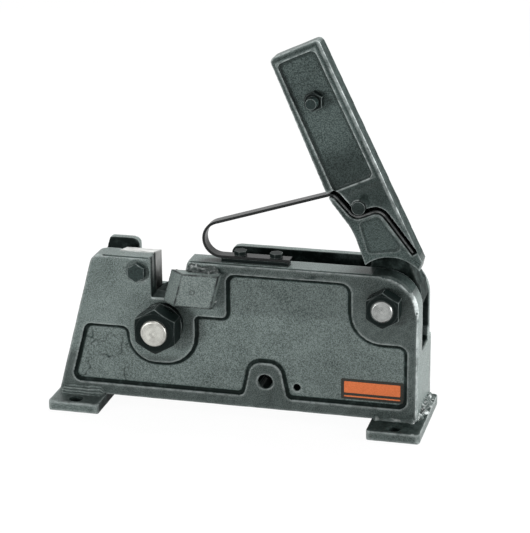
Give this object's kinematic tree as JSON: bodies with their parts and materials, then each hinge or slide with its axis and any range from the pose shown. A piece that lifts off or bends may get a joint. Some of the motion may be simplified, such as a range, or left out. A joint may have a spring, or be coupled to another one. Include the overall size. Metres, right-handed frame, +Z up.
{
  "type": "manual rebar cutter",
  "caption": "Bench rebar cutter: cast body on foot plates, toothed hand lever that drives a shear arm, fixed and moving blades at a notch, hairpin return spring.",
  "frame": {"origin": "on the bench surface, midway between the two foot bolt holes", "axes": "+X along the cutter from the blade end to the lever end, +Y from the front face to the back, +Z up"},
  "size_m": [0.427, 0.126, 0.4336],
  "materials": {
    "body_paint": "hammered grey-green paint",
    "lever_paint": "dark grey-green paint",
    "bare_steel": "bare machined steel",
    "black_steel": "black oxide",
    "spring_steel": "dark spring steel",
    "bronze": "bearing bronze"
  },
  "bodies": {
    "frame": {"body_casting": "body_paint", "left_foot_plate": "body_paint", "right_foot_plate": "body_paint", "foot_welds": "body_paint", "fixed_blade": "bare_steel", "fixed_blade_bolt": "body_paint", "bar_stop_block": "body_paint", "stop_block_welds": "body_paint", "front_pivot_pin": "bare_steel", "front_pivot_collar": "black_steel", "front_pivot_nut": "black_steel", "rear_pivot_pin": "bare_steel", "rear_pivot_nut": "black_steel", "return_spring": "spring_steel", "spring_packing": "black_steel", "spring_screws": "black_steel"},
    "lever": {"lever_casting": "lever_paint", "lever_bush": "bronze", "handle_bolt": "black_steel", "handle_nut": "black_steel", "strip_pin": "lever_paint"},
    "arm": {"moving_arm": "lever_paint", "arm_bush": "bronze", "moving_blade": "bare_steel", "moving_blade_screws": "black_steel"}
  },
  "joints": [
    {"name": "lever_turn", "type": "hinge", "parent": "frame", "child": "lever", "pos_m": [0.16861, 0.066, 0.147], "axis": [0, 1, 0], "range_deg": [0, 45], "stiffness_Nm_per_rad": 6, "springref_deg": -20.05, "deforming": ["return_spring"]},
    {"name": "arm_turn", "type": "hinge", "parent": "frame", "child": "arm", "pos_m": [-0.084, 0.066, 0.1055], "axis": [0, 1, 0], "range_deg": [-15, 0]}
  ],
  "couplings": [
    {"joint": "arm_turn", "follows": "lever_turn", "ratio": -0.33333}
  ]
}
